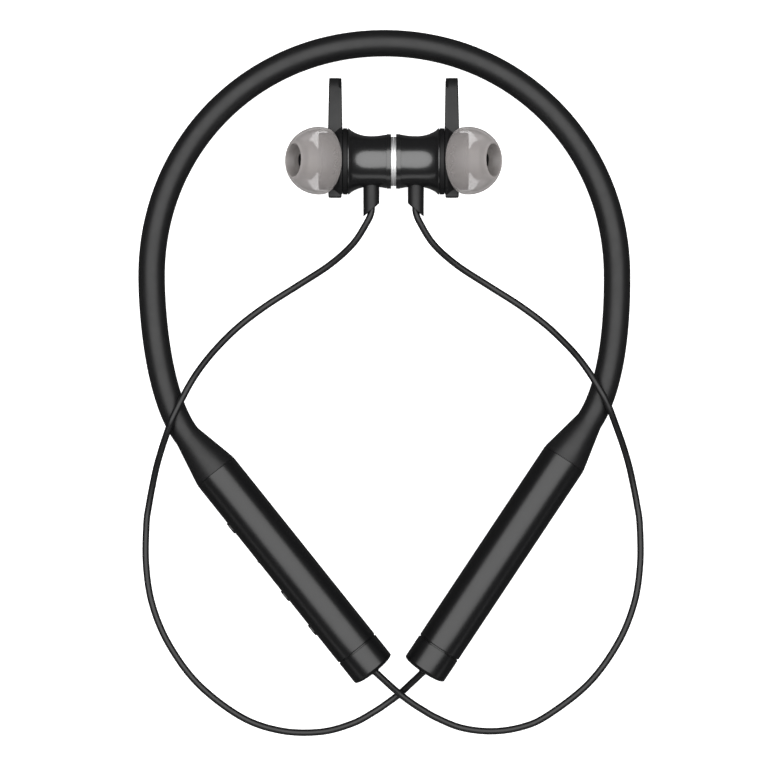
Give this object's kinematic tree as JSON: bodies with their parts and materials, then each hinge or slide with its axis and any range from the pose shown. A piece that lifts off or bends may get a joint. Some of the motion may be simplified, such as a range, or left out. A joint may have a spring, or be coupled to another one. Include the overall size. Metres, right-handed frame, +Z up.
{
  "type": "neckband earphones",
  "caption": "Neckband earphones lying flat: springy band with round housings, cabled in-ear buds held together by magnets.",
  "frame": {"origin": "on the surface it lies on, under the middle of the object without its cables", "axes": "+X towards the housing with the battery, +Y towards the top of the neckband's arch, +Z up from the surface"},
  "size_m": [0.1266, 0.1769, 0.0202],
  "materials": {
    "silicone_black": "matte moulded silicone",
    "cable_jacket": "satin elastomer jacket",
    "housing_satin": "satin soft-touch",
    "bud_gloss": "semi-gloss moulded",
    "tip_silicone": "translucent silicone",
    "disc_metal": "bright turned",
    "magnet_nickel": "nickel plated",
    "steel": "plain",
    "board": "solder mask",
    "carrier_plastic": "moulded nylon",
    "cell_wrap": "shrink wrap",
    "foam": "closed-cell foam",
    "light_pipe": "clear moulded",
    "harness_jacket": "satin"
  },
  "bodies": {
    "right_side": {"band_sleeve_right": "silicone_black", "band_anchor_right": "steel", "housing_shell_right": "housing_satin", "end_cap_right": "housing_satin", "cable_grommet_right": "silicone_black", "battery_cell": "cell_wrap", "battery_pad_inner": "foam", "battery_pad_outer": "foam", "protection_board": "board", "memory_wire": "steel", "band_harness": "harness_jacket", "cable_right_loop": "cable_jacket", "cable_right_bud": "cable_jacket"},
    "left_side": {"band_sleeve_left": "silicone_black", "band_anchor_left": "steel", "housing_shell_left": "housing_satin", "end_cap_left": "housing_satin", "cable_grommet_left": "silicone_black", "usb_receptacle": "magnet_nickel", "status_light_pipe": "light_pipe", "microphone": "magnet_nickel", "main_board": "board", "key_board": "board", "board_carrier": "carrier_plastic", "radio_module": "magnet_nickel", "volume_up_switch": "steel", "play_switch": "steel", "volume_down_switch": "steel", "cable_left_loop": "cable_jacket", "cable_left_bud": "cable_jacket"},
    "volume_up_key": {"volume_up_key": "housing_satin"},
    "play_key": {"play_key": "housing_satin"},
    "volume_down_key": {"volume_down_key": "housing_satin"},
    "left_earbud": {"bud_shell_left": "bud_gloss", "bud_cover_left": "bud_gloss", "nozzle_mesh_left": "steel", "magnet_left": "magnet_nickel", "magnet_disc_left": "disc_metal", "driver_left": "steel", "cable_boot_left": "silicone_black"},
    "right_earbud": {"bud_shell_right": "bud_gloss", "bud_cover_right": "bud_gloss", "nozzle_mesh_right": "steel", "magnet_right": "magnet_nickel", "magnet_disc_right": "disc_metal", "driver_right": "steel", "cable_boot_right": "silicone_black"},
    "left_ear_wing": {"ear_wing_left": "silicone_black"},
    "right_ear_wing": {"ear_wing_right": "silicone_black"},
    "left_ear_tip": {"ear_tip_left": "tip_silicone"},
    "right_ear_tip": {"ear_tip_right": "tip_silicone"}
  },
  "joints": [
    {"name": "band_spread", "type": "hinge", "parent": "right_side", "child": "left_side", "pos_m": [0, 0.08165, 0.00338], "axis": [0, 0, -1], "range_deg": [0, 25], "stiffness_Nm_per_rad": 0.1, "deforming": ["memory_wire", "band_harness", "cable_left_loop", "cable_right_loop"]},
    {"name": "volume_up_press", "type": "slide", "parent": "left_side", "child": "volume_up_key", "axis": [0.7815, 0.6239, 0], "range_m": [0, 0.0003], "stiffness_N_per_m": 800},
    {"name": "play_press", "type": "slide", "parent": "left_side", "child": "play_key", "axis": [0.7815, 0.6239, 0], "range_m": [0, 0.0003], "stiffness_N_per_m": 800},
    {"name": "volume_down_press", "type": "slide", "parent": "left_side", "child": "volume_down_key", "axis": [0.7815, 0.6239, 0], "range_m": [0, 0.0003], "stiffness_N_per_m": 800},
    {"name": "left_bud_part", "type": "slide", "parent": "left_side", "child": "left_earbud", "axis": [-1, 0, 0], "range_m": [0, 0.006], "deforming": ["cable_left_bud"]},
    {"name": "left_wing_turn", "type": "hinge", "parent": "left_earbud", "child": "left_ear_wing", "pos_m": [-0.0123, 0.0484, 0.00885], "axis": [1, 0, 0], "range_deg": [-15, 6]},
    {"name": "left_tip_pull", "type": "slide", "parent": "left_earbud", "child": "left_ear_tip", "axis": [-0.8788, 0, 0.4772], "range_m": [0, 0.006]},
    {"name": "right_bud_part", "type": "slide", "parent": "right_side", "child": "right_earbud", "axis": [1, 0, 0], "range_m": [0, 0.006], "deforming": ["cable_right_bud"]},
    {"name": "right_wing_turn", "type": "hinge", "parent": "right_earbud", "child": "right_ear_wing", "pos_m": [0.0169, 0.0484, 0.00885], "axis": [1, 0, 0], "range_deg": [-15, 6]},
    {"name": "right_tip_pull", "type": "slide", "parent": "right_earbud", "child": "right_ear_tip", "axis": [0.8788, 0, 0.4772], "range_m": [0, 0.006]}
  ]
}
